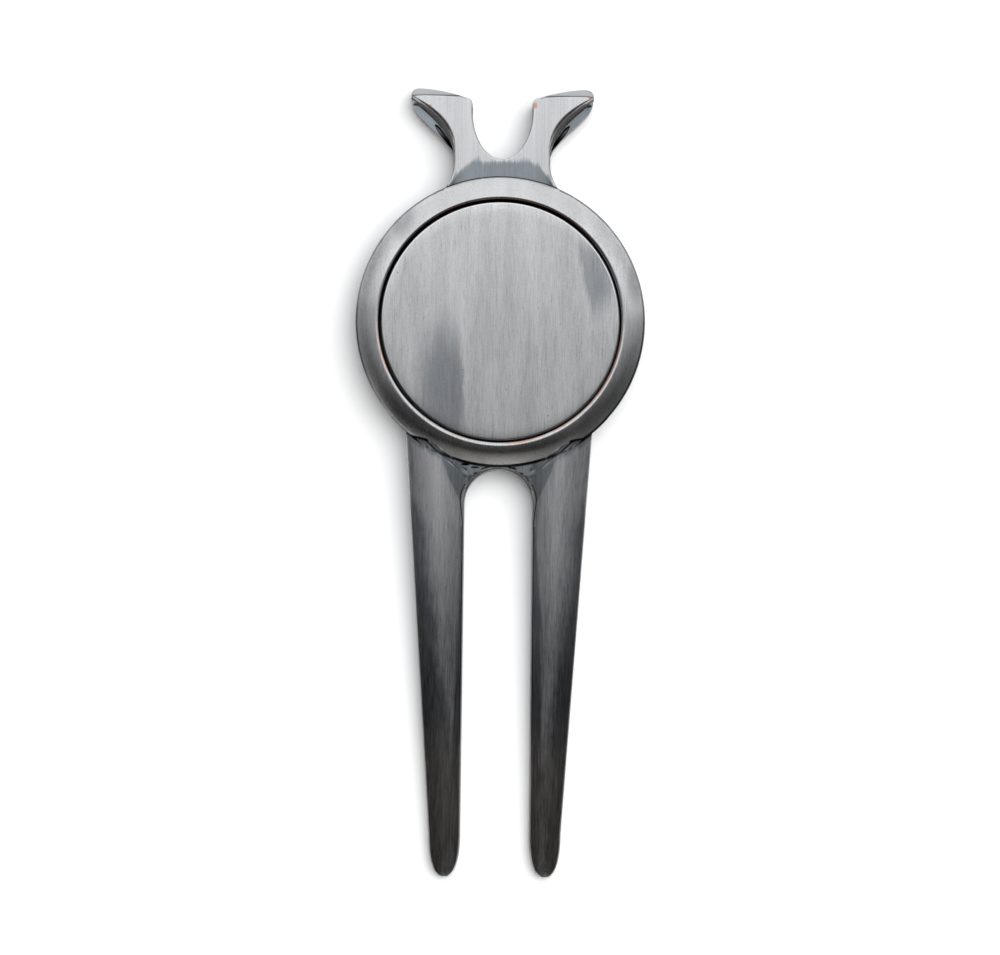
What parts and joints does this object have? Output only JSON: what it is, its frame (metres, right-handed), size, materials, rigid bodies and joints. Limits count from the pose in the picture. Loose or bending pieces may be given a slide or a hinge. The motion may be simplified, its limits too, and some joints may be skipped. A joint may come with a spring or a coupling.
{
  "type": "divot repair tool",
  "caption": "Die-cast golf divot repair fork with a raised round ring, a lift-out magnetic ball marker and an eared, notched rest at the other end.",
  "frame": {"origin": "centre of the ring on the tool's flat back, which is the surface that it lies on", "axes": "+Z out of the marker's face, +Y towards the ears, -Y along the prongs, +X across the prongs"},
  "size_m": [0.0304, 0.0835, 0.0048],
  "materials": {
    "brushed_nickel_casting": "zinc alloy die casting, copper and antique nickel plated, brushed lengthwise, dark in the hollows",
    "epoxy": "cured two-part epoxy film",
    "magnet_plating": "bright nickel plating on a sintered magnet",
    "brushed_nickel_marker": "plated iron disc, brushed lengthwise, with soft dark tarnish"
  },
  "bodies": {
    "tool": {"tool_body": "brushed_nickel_casting", "magnet_adhesive": "epoxy", "magnet": "magnet_plating"},
    "marker": {"ball_marker": "brushed_nickel_marker"}
  },
  "joints": [
    {"name": "marker_lift", "type": "slide", "parent": "tool", "child": "marker", "axis": [0, 0, 1], "range_m": [0, 0.02]}
  ]
}
